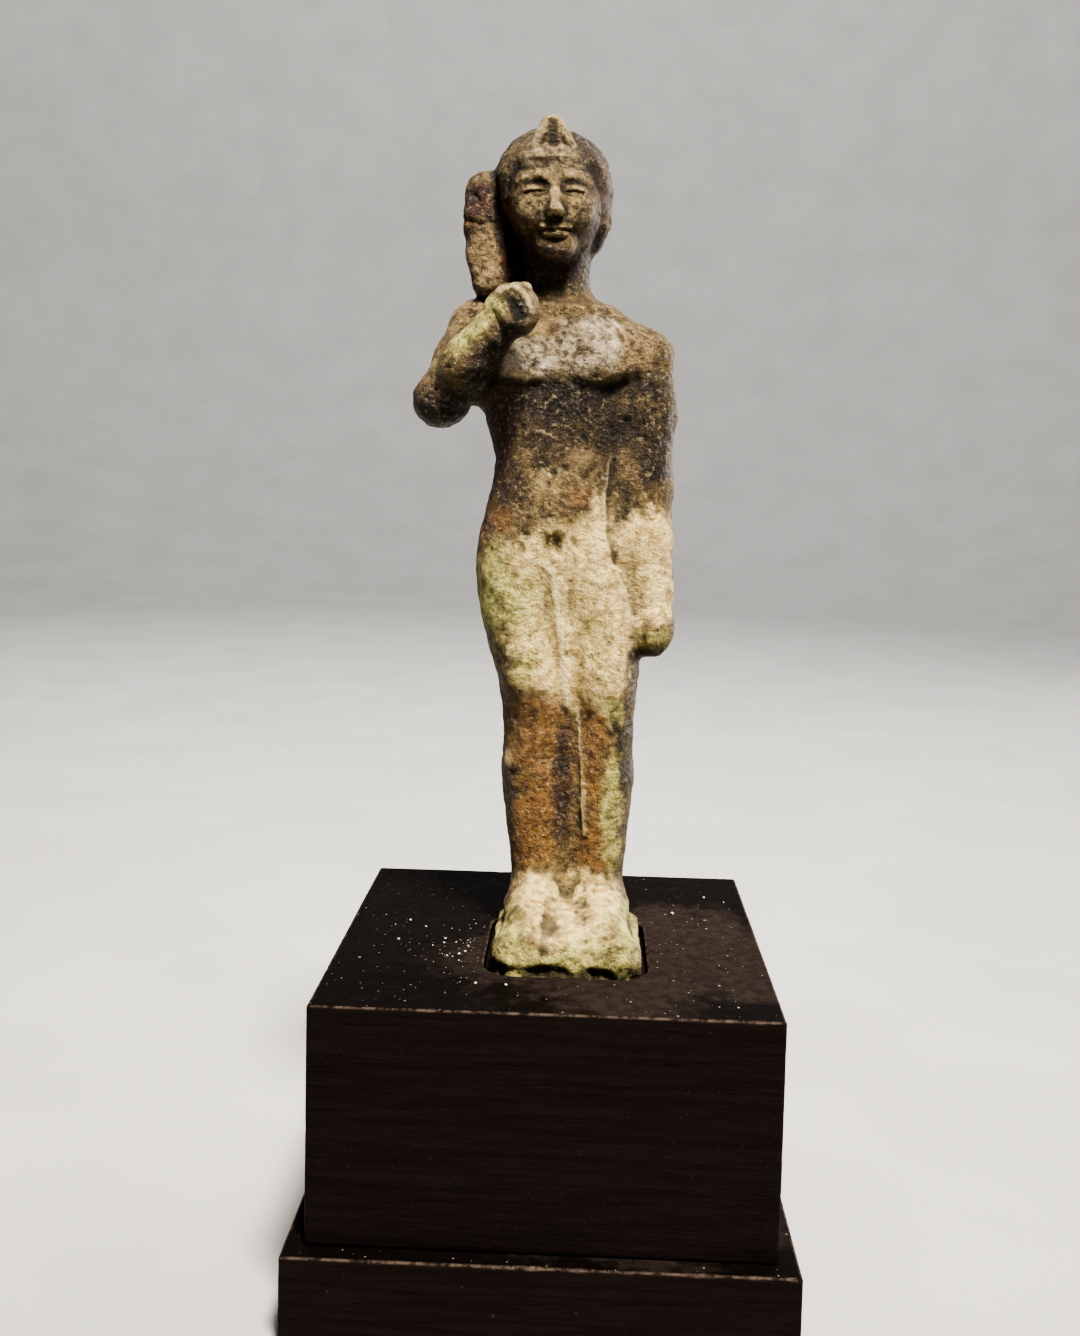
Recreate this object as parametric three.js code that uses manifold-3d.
// A small cast bronze figure of a youthful god, standing in a shallow mortise in a two-stepped wooden plinth.
// Millimetres, +Z up, +X to the viewer's right, the figure faces -Y. The origin is the middle of the plinth's underside.
// The bronze is one casting: the figure, its side lock, its raised arm and the slab that it stands on.
import * as THREE from "three";
import { mergeVertices } from "three/addons/utils/BufferGeometryUtils.js";
import Module from "manifold-3d";

// Plinth: a square block on a wider square step
const BLOCK_WIDTH = 70;
const BLOCK_HEIGHT = 36.5;
const STEP_OVERHANG = 3.1;
const STEP_HEIGHT = 14;
const WOOD_EDGE_BEVEL = 0.35;

// Bronze figure: its height from the top of its slab to the crest of the cobra on its brow.
// The stations below are millimetres on the drawn figure, and are scaled to this height.
const FIGURE_HEIGHT = 132.7;
const DRAWN_HEIGHT = 132.7;
const DRAWN_SOLES = 4.6;

// Bronze slab cast under the feet, and the mortise that takes it
const SLAB_WIDTH = 24.4;
const SLAB_DEPTH = 28;
const SLAB_THICKNESS = 4.6;
const SLAB_CORNER = 4.5;
const SLAB_CENTRE_X = 2.6;
const SLAB_CENTRE_Y = -5.5;
const MORTISE_DEPTH = 2;
const MORTISE_CLEARANCE = 0.9;

// Grid that the casting's skin is traced on
const BODY_CELL = 2.0;
const BODY_RISE = 2.8;
const ARM_RISE = 1.9;
const HEAD_RISE = 1.25;
const HEAD_SQUEEZE = 0.64;
const GRID_MARGIN = 2 * BODY_RISE;
const GRID_ACROSS = [-29, 28];
const GRID_DEEP = [-28, 22];
const CLOSER_LEVELS = { arm: [78, 88], head: [104, 112], squeeze: [96, 114] };

// Colours, roughness and metalness of the finishes
const BRONZE = { color: 0x8a7a55, roughness: 0.62, metalness: 0.45 };
const EBONISED_WOOD = { color: 0x1d1614, roughness: 0.55, metalness: 0 };

const LEFT = 1; // the figure's own left side, on the viewer's right
const RIGHT = -1;
const SIDES = [RIGHT, LEFT];

const clamp = (value, low, high) => Math.min(high, Math.max(low, value));
const mix = (a, b, t) => a + (b - a) * t;
const smoothstep = (t) => t * t * (3 - 2 * t);
const fade = (z, [from, to]) => smoothstep(clamp((z - from) / (to - from), 0, 1));

// Joins two fields with a fillet about k wide
function blend(a, b, k) {
  const h = Math.max(k - Math.abs(a - b), 0) / k;
  return Math.min(a, b) - (h * h * k) / 4;
}

// Takes field b out of field a, with the edge eased over k
const carve = (a, b, k) => -blend(-a, b, k);

// Value of a smooth curve through [height, value] stations
function along(stations, z, column = 1) {
  const last = stations.length - 1;
  if (z <= stations[0][0]) return stations[0][column];
  if (z >= stations[last][0]) return stations[last][column];
  let i = 0;
  while (z > stations[i + 1][0]) i += 1;
  const at = (n) => stations[clamp(n, 0, last)];
  const [z0, z1] = [stations[i][0], stations[i + 1][0]];
  const slope = (n) =>
    (at(n + 1)[column] - at(n - 1)[column]) / (at(n + 1)[0] - at(n - 1)[0]);
  const t = (z - z0) / (z1 - z0);
  const [a, b] = [stations[i][column], stations[i + 1][column]];
  const ease = smoothstep(t);
  const pull = (z1 - z0) * t * (1 - t);
  return mix(a, b, ease) + pull * ((1 - t) * slope(i) - t * slope(i + 1));
}

// Field of an ellipsoid, near enough to a distance close to its skin
function ellipsoid(x, y, z, [cx, cy, cz], [rx, ry, rz]) {
  const [dx, dy, dz] = [x - cx, y - cy, z - cz];
  const near = Math.hypot(dx / rx, dy / ry, dz / rz);
  const steep = Math.hypot(dx / rx ** 2, dy / ry ** 2, dz / rz ** 2);
  return near === 0 ? -Math.min(rx, ry, rz) : (near * (near - 1)) / steep;
}

// Field of a round bar that tapers from one ball to another
function taper(x, y, z, [ax, ay, az, ar], [bx, by, bz, br]) {
  const [ux, uy, uz] = [bx - ax, by - ay, bz - az];
  const [px, py, pz] = [x - ax, y - ay, z - az];
  const t = clamp(
    (px * ux + py * uy + pz * uz) / (ux * ux + uy * uy + uz * uz),
    0,
    1,
  );
  return Math.hypot(px - ux * t, py - uy * t, pz - uz * t) - mix(ar, br, t);
}

// Field of a limb: tapered bars through a list of balls
function limb(x, y, z, balls, k) {
  let field = Infinity;
  for (let i = 1; i < balls.length; i += 1) {
    field = blend(field, taper(x, y, z, balls[i - 1], balls[i]), k);
  }
  return field;
}

// Field of an upright form whose oval sections change with height
function column(x, y, z, middleX, middleY, halfWidth, halfDepth, low, high) {
  const [dx, dy] = [x - middleX, y - middleY];
  const near = Math.hypot(dx / halfWidth, dy / halfDepth);
  const steep = Math.hypot(dx / halfWidth ** 2, dy / halfDepth ** 2);
  const round =
    near === 0 ? -Math.min(halfWidth, halfDepth) : (near * (near - 1)) / steep;
  return Math.max(round, low - z, z - high);
}

// The body's middle line, which sways to the viewer's left above the knees: height, x
const MIDLINE = [
  [0, 0],
  [10, -0.2],
  [30, -0.6],
  [44, -0.8],
  [64, -3.2],
  [78, -4.0],
  [91, -4.0],
  [104, -4.1],
  [125, -4.9],
];
const middle = (z) => along(MIDLINE, z);

// One leg: height, distance from the middle line, y, half width, half depth
const LEG = [
  [5, 5.0, 1.2, 4.9, 4.9],
  [12, 4.8, 0.8, 4.7, 4.7],
  [20, 5.2, 0.9, 5.0, 5.3],
  [29, 5.6, 1.2, 5.4, 6.2],
  [38, 5.6, 0.5, 5.4, 5.8],
  [44, 5.8, 0.2, 5.7, 6.2],
  [53, 6.4, 0.5, 6.7, 7.4],
  [61, 6.7, 1.0, 6.8, 8.0],
  [68, 6.2, 1.0, 6.2, 7.2],
  [74, 5.0, 0.8, 4.4, 5.2],
];
const LEG_TOP = 75;
const LEG_WEB = { halfWidth: 3.2, share: 0.84, top: 73 };

// Trunk from the crotch to the base of the neck: height, y, half width, half depth
const TRUNK = [
  [56, 0.6, 9.6, 4.6],
  [62, 0.6, 11.6, 6.2],
  [68, 0.3, 12.3, 7.2],
  [73, 0.0, 11.7, 6.9],
  [78, -0.2, 10.4, 6.5],
  [83, 0.0, 9.8, 6.2],
  [89, 0.2, 11.6, 6.6],
  [94, 0.3, 12.5, 7.0],
  [101, 0.5, 12.4, 6.7],
  [107, 0.7, 9.2, 5.6],
];
const TRUNK_LOW = 56;
const TRUNK_HIGH = 107;

// Arms as balls: x, y, z, radius
const LOWERED_ARM = [
  [10.9, 0.3, 99.6, 4.5],
  [11.6, 0.5, 90.5, 4.3],
  [11.0, 0.6, 79.0, 4.6],
  [11.3, -0.4, 69.5, 4.5],
  [12.8, -1.2, 61.5, 3.8],
];
const LOWERED_FIST = { at: [13.1, -1.6, 55.4], size: [3.7, 4.6, 5.3] };
const FLANK_WEB = [
  [7.6, 0.4, 98.0, 3.6],
  [7.3, 0.4, 76.0, 3.6],
];
const RAISED_UPPER_ARM = [
  [-16.5, 0.6, 104.2, 4.6],
  [-19.4, -2.2, 98.4, 4.5],
  [-22.4, -6.0, 91.8, 4.3],
];
const RAISED_FOREARM = [
  [-22.4, -6.0, 91.8, 4.3],
  [-17.8, -10.2, 97.4, 4.2],
  [-13.9, -12.8, 102.0, 3.6],
];
const RAISED_FIST = { at: [-10.6, -14.0, 105.4], size: [4.3, 3.7, 4.4] };
const RAISED_THUMB = [
  [-13.4, -14.6, 106.0, 1.5],
  [-8.8, -15.6, 108.4, 1.3],
];
const ARMPIT_WEB = [
  [-18.6, -1.8, 95.2, 3.4],
  [-12.2, 0.8, 94.2, 4.6],
];

// Slope from the neck to each shoulder: distance from the middle line, y, z, radius
const NECK_SLOPE = [
  [3.0, 0.8, 105.6, 4.6],
  [13.6, 0.5, 100.2, 4.5],
];
const RAISED_SHOULDER_LIFT = 3.9;
const NECK = [
  [-4.6, 1.6, 103, 6.2],
  [-4.8, 1.0, 118, 5.9],
];

// Head and headdress, measured from the head's own upright axis
const HEAD_X = -4.8;
const HEAD_LEAN = 0.05;
const HEAD_LEAN_FROM = 118;
const HEAD_TURN = 0.05;
const HEAD = { at: [0, 0.4, 126.4], size: [8.2, 9.0, 9.6] };
const FACE = { at: [0, -2.0, 123.0], size: [7.2, 7.3, 8.0] };
const CAP = { at: [0, 0.4, 128.0], size: [9.6, 9.7, 8.5] };
const CAP_NAPE = { at: [0, 2.2, 120.4], size: [8.4, 7.4, 7.4] };
const CAP_FRONT_EDGE = 130.4;
const CAP_BACK_EDGE = 116.5;
const CAP_SLANT = (CAP_FRONT_EDGE - CAP_BACK_EDGE) / 7;
const CAP_EDGE_FRONT_Y = -6.5;
const EAR = { out: 8.1, at: [0.4, 123.6], size: [1.2, 2.0, 3.5] };
const NOSE = [
  [0, -8.6, 126.4, 0.8],
  [0, -9.9, 122.0, 1.4],
];
const BROW = { at: [0, -6.4, 128.0], size: [5.8, 2.3, 1.1] };
const EYE = { out: 2.9, at: [-7.9, 125.9], size: [1.8, 1.0, 1.0] };
const LIPS = { at: [0, -8.3, 119.3], size: [2.3, 1.1, 0.9] };
const CHIN = { at: [0, -6.5, 116.4], size: [3.0, 2.1, 2.0] };
const COBRA_HOOD = { at: [0, -6.4, 133.4], size: [2.6, 1.9, 3.9] };
const COBRA_HOLLOW = { at: [0, -8.3, 133.2], size: [1.1, 1.0, 2.2] };
const COBRA_TAIL = [
  [0, -6.0, 134.6, 1.2],
  [0, 2.0, 135.8, 0.9],
];
const SIDE_LOCK = [
  [-12.4, 2.0, 127.6, 2.6],
  [-16.0, 1.4, 126.2, 3.6],
  [-16.5, 0.9, 121.6, 3.5],
  [-16.0, 0.2, 116.5, 3.2],
  [-15.4, -0.6, 111.5, 3.0],
];
const LOCK_WEB = [
  [-12.0, 1.6, 122.5, 2.6],
  [-11.8, 1.0, 110.5, 2.8],
];

// Muscles that stand out from the trunk: distance from the middle line, y, z, then radii
const CHEST = { out: 5.6, at: [-3.0, 99.4], size: [6.8, 4.8, 5.9] };
const BELLY = { at: [-2.2, 76.5], size: [7.6, 5.4, 8.6] };
const BUTTOCK = { out: 5.6, at: [3.6, 62.5], size: [6.4, 5.6, 6.4] };
const SHOULDER_BLADE = { out: 7.0, at: [4.4, 98.0], size: [4.2, 2.8, 5.6] };
const CALF = { out: 5.6, at: [2.6, 29], size: [4.6, 4.6, 8.0] };
const KNEECAP = { out: 6.0, at: [-4.2, 47], size: [3.2, 2.3, 4.6] };
const FOOT = {
  heel: [5.2, 3.4, 6.0, 4.2],
  instep: [5.3, -3.6, 7.4, 4.6],
  ball: [6.2, -12.0, 5.6, 4.3],
};
const TOES = { out: 6.4, at: [-15.4, 5.2], size: [5.0, 3.5, 2.4] };
const FOOT_WEB = { at: [0, -6.5, 5.0], size: [6.0, 12.0, 4.6] };

// Worn hollow under the belly, on the middle line, and the groove down the back
const HOLLOW = { at: [-8.6, 68.6], size: [3.0, 2.2, 2.6] };
const SPINE_GROOVE = { from: 66, to: 106, y: 8.7, radius: 1.5 };

const onBothSides = (field, shape, k) => (x, y, z, start) => {
  let joined = start;
  for (const side of SIDES) {
    const centre = [middle(z) + side * shape.out, shape.at[0], shape.at[1]];
    joined = field(joined, ellipsoid(x, y, z, centre, shape.size), k);
  }
  return joined;
};
const addCalves = onBothSides(blend, CALF, 2.5);
const addKneecaps = onBothSides(blend, KNEECAP, 3);
const addToes = onBothSides(blend, TOES, 2);
const addChest = onBothSides(blend, CHEST, 2.4);
const addButtocks = onBothSides(blend, BUTTOCK, 2.2);
const addShoulderBlades = onBothSides(blend, SHOULDER_BLADE, 3);

function legs(x, y, z) {
  let field = Infinity;
  const [out, legY, halfWidth, halfDepth] = [1, 2, 3, 4].map((n) => along(LEG, z, n));
  for (const side of SIDES) {
    const centreX = middle(z) + side * out;
    const shin = column(x, y, z, centreX, legY, halfWidth, halfDepth, FOOT.heel[2], LEG_TOP);
    const mirrored = ([footX, cy, cz, r]) => [middle(cz) + side * footX, cy, cz, r];
    const foot = limb(x, y, z, [FOOT.heel, FOOT.instep, FOOT.ball].map(mirrored), 2);
    field = blend(field, blend(shin, foot, 2.5), 1.4);
  }
  const web = LEG_WEB;
  const webDepth = halfDepth * web.share;
  const bridge = column(x, y, z, middle(z), legY, web.halfWidth, webDepth, FOOT.heel[2], web.top);
  field = blend(field, bridge, 1.2);
  field = blend(field, ellipsoid(x, y, z, FOOT_WEB.at, FOOT_WEB.size), 1.5);
  return addToes(x, y, z, addKneecaps(x, y, z, addCalves(x, y, z, field)));
}

function trunk(x, y, z) {
  let field = column(
    x,
    y,
    z,
    middle(z),
    along(TRUNK, z, 1),
    along(TRUNK, z, 2),
    along(TRUNK, z, 3),
    TRUNK_LOW,
    TRUNK_HIGH,
  );
  field = addShoulderBlades(x, y, z, addChest(x, y, z, field));
  const belly = [middle(z), BELLY.at[0], BELLY.at[1]];
  field = blend(field, ellipsoid(x, y, z, belly, BELLY.size), 3);
  field = addButtocks(x, y, z, field);
  for (const side of SIDES) {
    const lift = side === RIGHT ? RAISED_SHOULDER_LIFT : 0;
    const [inner, outer] = NECK_SLOPE;
    const slope = taper(
      x,
      y,
      z,
      [middle(inner[2]) + side * inner[0], inner[1], inner[2], inner[3]],
      [middle(outer[2]) + side * outer[0], outer[1], outer[2] + lift, outer[3]],
    );
    field = blend(field, slope, 3);
  }
  const spine = taper(
    x,
    y,
    z,
    [middle(SPINE_GROOVE.from), SPINE_GROOVE.y, SPINE_GROOVE.from, SPINE_GROOVE.radius],
    [middle(SPINE_GROOVE.to), SPINE_GROOVE.y, SPINE_GROOVE.to, SPINE_GROOVE.radius],
  );
  field = carve(field, spine, 2.5);
  const hollow = [middle(HOLLOW.at[1]), HOLLOW.at[0], HOLLOW.at[1]];
  return carve(field, ellipsoid(x, y, z, hollow, HOLLOW.size), 0.8);
}

function arms(x, y, z) {
  let lowered = blend(
    limb(x, y, z, LOWERED_ARM, 2),
    ellipsoid(x, y, z, LOWERED_FIST.at, LOWERED_FIST.size),
    1.6,
  );
  lowered = blend(lowered, taper(x, y, z, FLANK_WEB[0], FLANK_WEB[1]), 1);
  let raised = blend(
    limb(x, y, z, RAISED_FOREARM, 1.5),
    ellipsoid(x, y, z, RAISED_FIST.at, RAISED_FIST.size),
    1.2,
  );
  raised = blend(raised, taper(x, y, z, RAISED_THUMB[0], RAISED_THUMB[1]), 0.8);
  raised = blend(raised, limb(x, y, z, RAISED_UPPER_ARM, 2), 1.2);
  raised = blend(raised, taper(x, y, z, ARMPIT_WEB[0], ARMPIT_WEB[1]), 2);
  return [lowered, raised];
}

function head(worldX, y, z) {
  const x = worldX - HEAD_X + HEAD_LEAN * (z - HEAD_LEAN_FROM) + HEAD_TURN * y;
  const oval = ({ at, size }) => ellipsoid(x, y, z, at, size);
  let field = blend(oval(HEAD), oval(FACE), 2.5);
  field = blend(field, oval(CHIN), 2);
  field = blend(field, oval(BROW), 1);
  for (const side of SIDES) {
    const eye = (depth) => [side * EYE.out, EYE.at[0] + depth, EYE.at[1]];
    field = carve(field, ellipsoid(x, y, z, eye(-0.9), EYE.size), 1.2);
    field = blend(field, ellipsoid(x, y, z, eye(0.6), EYE.size), 0.4);
    const ear = [side * EAR.out, EAR.at[0], EAR.at[1]];
    field = blend(field, ellipsoid(x, y, z, ear, EAR.size), 0.8);
  }
  field = blend(field, taper(x, y, z, NOSE[0], NOSE[1]), 0.8);
  field = blend(field, oval(LIPS), 0.6);
  const capEdge = CAP_FRONT_EDGE - CAP_SLANT * clamp(y - CAP_EDGE_FRONT_Y, 0, 7);
  const cap = Math.max(blend(oval(CAP), oval(CAP_NAPE), 2), capEdge - z);
  field = blend(field, cap, 0.5);
  field = blend(field, limb(x, y, z, COBRA_TAIL, 0.6), 0.5);
  return carve(blend(field, oval(COBRA_HOOD), 0.6), oval(COBRA_HOLLOW), 0.4);
}

// The lock of hair at the temple, and the metal left between it and the neck
function sideLock(x, y, z) {
  return blend(limb(x, y, z, SIDE_LOCK, 1.2), limb(x, y, z, LOCK_WEB, 1), 1.5);
}

// Slab with rounded corners and worn upper edges
function slab(x, y, z) {
  const dx = Math.abs(x) - SLAB_WIDTH / 2 + SLAB_CORNER;
  const dy = Math.abs(y - SLAB_CENTRE_Y) - SLAB_DEPTH / 2 + SLAB_CORNER;
  const outside = Math.hypot(Math.max(dx, 0), Math.max(dy, 0));
  const side = outside + Math.min(Math.max(dx, dy), 0) - SLAB_CORNER;
  const worn = -blend(-side, SLAB_THICKNESS - z, 1.6);
  return Math.max(worn, -GRID_MARGIN / 4 - z);
}

// Field of the figure without its slab, in drawn millimetres
function body(x, y, z) {
  let field = blend(trunk(x, y, z), legs(x, y, z), 3);
  const [lowered, raised] = arms(x, y, z);
  field = blend(field, lowered, 2.2);
  field = blend(field, raised, 1.2);
  field = blend(field, taper(x, y, z, NECK[0], NECK[1]), 2.2);
  field = blend(field, head(x, y, z), 2);
  return blend(field, sideLock(x, y, z), 0.9);
}

const scale = FIGURE_HEIGHT / DRAWN_HEIGHT;
const drawnHeight = (z) => (z - SLAB_THICKNESS) / scale + DRAWN_SOLES;

// Field of the whole casting: negative inside the metal
function casting(x, y, z) {
  const figure = body(x / scale, y / scale, drawnHeight(z)) * scale;
  return blend(figure, slab(x, y, z), 1.5);
}

// Grid lines up the casting: wide apart on the legs, closer on the raised arm, closest on the head
function levels() {
  const heights = [-GRID_MARGIN];
  let top = -GRID_MARGIN;
  while (top < SLAB_THICKNESS + FIGURE_HEIGHT + GRID_MARGIN) {
    const z = drawnHeight(top);
    const toArm = fade(z, CLOSER_LEVELS.arm);
    const toHead = fade(z, CLOSER_LEVELS.head);
    top += scale * mix(mix(BODY_RISE, ARM_RISE, toArm), HEAD_RISE, toHead);
    heights.push(top);
  }
  return heights;
}

// Evenly spaced grid lines from low to high, in drawn millimetres
function gridLines([low, high]) {
  const count = Math.ceil((high - low) / BODY_CELL) + 1;
  return Array.from({ length: count }, (_, i) => scale * (low + i * BODY_CELL));
}

// The grid's point for column i, row j and level k; its columns close up towards the head
function gridPoint(us, vs, zs, i, j, k) {
  const toHead = fade(drawnHeight(zs[k]), CLOSER_LEVELS.squeeze);
  const squeeze = mix(1, HEAD_SQUEEZE, toHead);
  return [scale * HEAD_X + us[i] * squeeze, vs[j] * squeeze, zs[k]];
}

const AXES = [0, 1, 2];
const CORNERS = [0, 1, 2, 3, 4, 5, 6, 7];
const crossed = (inside, corner, axis) => inside[corner] !== inside[corner | (1 << axis)];

// Groups the edges that the surface crosses in one grid cell by the sheet of surface that crosses them.
// An edge is named by its lower corner (one bit for each axis) and its axis.
function sheetsOf(inside) {
  const sheet = new Map();
  for (const axis of AXES) {
    for (const corner of CORNERS) {
      if (corner & (1 << axis) || !crossed(inside, corner, axis)) continue;
      sheet.set(corner * 3 + axis, corner * 3 + axis);
    }
  }
  const join = (edges) => {
    const [first, second] = edges.map((edge) => sheet.get(edge));
    for (const [edge, name] of sheet) {
      if (name === second) sheet.set(edge, first);
    }
  };
  for (const axis of AXES) {
    const [p, q] = AXES.filter((other) => other !== axis);
    for (const base of [0, 1 << axis]) {
      const face = [0, 1 << p, 1 << q, (1 << p) | (1 << q)].map((c) => c | base);
      const edges = [face[0] * 3 + p, face[2] * 3 + p, face[0] * 3 + q, face[1] * 3 + q];
      const cut = edges.filter((edge) => sheet.has(edge));
      if (cut.length === 2) join(cut);
      if (cut.length < 4) continue;
      for (const corner of face.filter((c) => inside[c])) {
        join([(corner & ~(1 << p)) * 3 + p, (corner & ~(1 << q)) * 3 + q]);
      }
    }
  }
  return sheet;
}

// Traces the field's zero surface as quads: each sheet in a grid cell gets one point, amid its crossings
function traceSurface(field, us, vs, zs) {
  const [nu, nv, nz] = [us.length, vs.length, zs.length];
  const index = (i, j, k) => (k * nv + j) * nu + i;
  const values = new Float64Array(nu * nv * nz);
  for (let k = 0; k < nz; k += 1) {
    for (let j = 0; j < nv; j += 1) {
      for (let i = 0; i < nu; i += 1) {
        values[index(i, j, k)] = field(...gridPoint(us, vs, zs, i, j, k));
      }
    }
  }
  const positions = [];
  const cells = new Map();
  const cellAt = (i, j, k) => {
    const key = index(i, j, k);
    if (cells.has(key)) return cells.get(key);
    const corner = (c) => [i + (c & 1), j + ((c >> 1) & 1), k + (c >> 2)];
    const value = CORNERS.map((c) => values[index(...corner(c))]);
    const sheet = sheetsOf(value.map((v) => v < 0));
    const points = new Map();
    for (const name of new Set(sheet.values())) {
      const crossings = [];
      for (const [edge, owner] of sheet) {
        if (owner !== name) continue;
        const low = Math.floor(edge / 3);
        const high = low | (1 << (edge % 3));
        const t = value[low] / (value[low] - value[high]);
        const [a, b] = [low, high].map((c) => gridPoint(us, vs, zs, ...corner(c)));
        crossings.push(AXES.map((n) => mix(a[n], b[n], t)));
      }
      points.set(name, positions.length / 3);
      for (const n of AXES) {
        const total = crossings.reduce((sum, crossing) => sum + crossing[n], 0);
        positions.push(total / crossings.length);
      }
    }
    const pointOfEdge = new Map();
    for (const [edge, owner] of sheet) pointOfEdge.set(edge, points.get(owner));
    cells.set(key, pointOfEdge);
    return pointOfEdge;
  };
  const triangles = [];
  for (let k = 1; k < nz - 1; k += 1) {
    for (let j = 1; j < nv - 1; j += 1) {
      for (let i = 1; i < nu - 1; i += 1) {
        const here = values[index(i, j, k)] < 0;
        for (const axis of AXES) {
          const next = [i, j, k];
          next[axis] += 1;
          const there = values[index(...next)] < 0;
          if (here === there) continue;
          const [p, q] = [(axis + 1) % 3, (axis + 2) % 3];
          const around = [
            [1, 1],
            [0, 1],
            [0, 0],
            [1, 0],
          ];
          const [a, b, c, d] = around.map(([backP, backQ]) => {
            const cell = [i, j, k];
            cell[p] -= backP;
            cell[q] -= backQ;
            return cellAt(...cell).get(((backP << p) | (backQ << q)) * 3 + axis);
          });
          triangles.push(...(there ? [a, c, b, a, d, c] : [a, b, c, a, c, d]));
        }
      }
    }
  }
  return { positions, triangles };
}

// Moves each point along the field's slope until it lies on the zero surface
function settleOnSurface(field, positions) {
  const e = 0.02;
  for (let i = 0; i < positions.length; i += 3) {
    let [x, y, z] = positions.slice(i, i + 3);
    for (let round = 0; round < 2; round += 1) {
      const f = field(x, y, z);
      const slope = [
        (field(x + e, y, z) - field(x - e, y, z)) / (2 * e),
        (field(x, y + e, z) - field(x, y - e, z)) / (2 * e),
        (field(x, y, z + e) - field(x, y, z - e)) / (2 * e),
      ];
      const length2 = slope[0] ** 2 + slope[1] ** 2 + slope[2] ** 2;
      const step = clamp(f / Math.max(length2, 0.25), -0.6, 0.6);
      x -= slope[0] * step;
      y -= slope[1] * step;
      z -= slope[2] * step;
    }
    [positions[i], positions[i + 1], positions[i + 2]] = [x, y, z];
  }
}

const wasm = await Module();
wasm.setup();

// A closed three.js geometry as a solid
function solidFrom(geometry) {
  const bare = geometry.clone();
  bare.deleteAttribute("normal");
  bare.deleteAttribute("uv");
  const merged = mergeVertices(bare, 1e-4);
  return new wasm.Manifold(
    new wasm.Mesh({
      numProp: 3,
      vertProperties: new Float32Array(merged.attributes.position.array),
      triVerts: new Uint32Array(merged.index.array),
    }),
  );
}

function geometryFrom(solid) {
  const mesh = solid.getMesh();
  const geometry = new THREE.BufferGeometry();
  geometry.setAttribute(
    "position",
    new THREE.BufferAttribute(new Float32Array(mesh.vertProperties), 3),
  );
  geometry.setIndex(
    new THREE.BufferAttribute(new Uint32Array(mesh.triVerts), 1),
  );
  geometry.computeVertexNormals();
  return geometry;
}

// The casting, trimmed flat underneath
function castFigure() {
  const us = gridLines(GRID_ACROSS);
  const vs = gridLines(GRID_DEEP);
  const { positions, triangles } = traceSurface(casting, us, vs, levels());
  settleOnSurface(casting, positions);
  const skin = new THREE.BufferGeometry();
  skin.setAttribute("position", new THREE.Float32BufferAttribute(positions, 3));
  skin.setIndex(triangles);
  const reach = 2 * (SLAB_WIDTH + SLAB_DEPTH);
  const below = new THREE.BoxGeometry(reach, reach, reach);
  below.translate(0, 0, -reach / 2);
  return geometryFrom(solidFrom(skin).subtract(solidFrom(below)));
}

// Rectangle with rounded corners, centred on the origin
function roundedRectangle(width, depth, corner) {
  const [w, d] = [width / 2, depth / 2];
  const shape = new THREE.Shape();
  shape.moveTo(-w + corner, -d);
  shape.lineTo(w - corner, -d);
  shape.absarc(w - corner, -d + corner, corner, -Math.PI / 2, 0, false);
  shape.lineTo(w, d - corner);
  shape.absarc(w - corner, d - corner, corner, 0, Math.PI / 2, false);
  shape.lineTo(-w + corner, d);
  shape.absarc(-w + corner, d - corner, corner, Math.PI / 2, Math.PI, false);
  shape.lineTo(-w, -d + corner);
  shape.absarc(
    -w + corner,
    -d + corner,
    corner,
    Math.PI,
    Math.PI * 1.5,
    false,
  );
  return shape;
}

// Board with its edges eased by a small bevel, standing on z = 0
function board(width, depth, height) {
  const bevel = WOOD_EDGE_BEVEL;
  const half = new THREE.Vector2(width / 2 - bevel, depth / 2 - bevel);
  const outline = new THREE.Shape([
    new THREE.Vector2(-half.x, -half.y),
    new THREE.Vector2(half.x, -half.y),
    new THREE.Vector2(half.x, half.y),
    new THREE.Vector2(-half.x, half.y),
  ]);
  const geometry = new THREE.ExtrudeGeometry(outline, {
    depth: height - 2 * bevel,
    bevelEnabled: true,
    bevelThickness: bevel,
    bevelSize: bevel,
    bevelSegments: 1,
  });
  geometry.translate(0, 0, bevel);
  return geometry;
}

// The upper block, with the mortise sunk in its top
function mortisedBlock() {
  const pocket = new THREE.ExtrudeGeometry(
    roundedRectangle(
      SLAB_WIDTH + 2 * MORTISE_CLEARANCE,
      SLAB_DEPTH + 2 * MORTISE_CLEARANCE,
      SLAB_CORNER + MORTISE_CLEARANCE,
    ),
    { depth: BLOCK_HEIGHT, bevelEnabled: false, curveSegments: 6 },
  );
  pocket.translate(
    SLAB_CENTRE_X,
    SLAB_CENTRE_Y,
    BLOCK_HEIGHT - MORTISE_DEPTH,
  );
  const block = solidFrom(board(BLOCK_WIDTH, BLOCK_WIDTH, BLOCK_HEIGHT));
  return geometryFrom(block.subtract(solidFrom(pocket)));
}

function piece(name, geometry, finish) {
  const mesh = new THREE.Mesh(
    geometry,
    new THREE.MeshStandardMaterial({ ...finish, name }),
  );
  mesh.name = name;
  return mesh;
}

const statue = new THREE.Group();

const stepWidth = BLOCK_WIDTH + 2 * STEP_OVERHANG;
statue.add(
  piece(
    "plinth_step",
    board(stepWidth, stepWidth, STEP_HEIGHT),
    EBONISED_WOOD,
  ),
);

const block = piece("plinth_block", mortisedBlock(), EBONISED_WOOD);
block.position.z = STEP_HEIGHT;
statue.add(block);

const bronze = piece("bronze_figure", castFigure(), BRONZE);
bronze.position.set(
  SLAB_CENTRE_X,
  0,
  STEP_HEIGHT + BLOCK_HEIGHT - MORTISE_DEPTH,
);
statue.add(bronze);

export default statue;
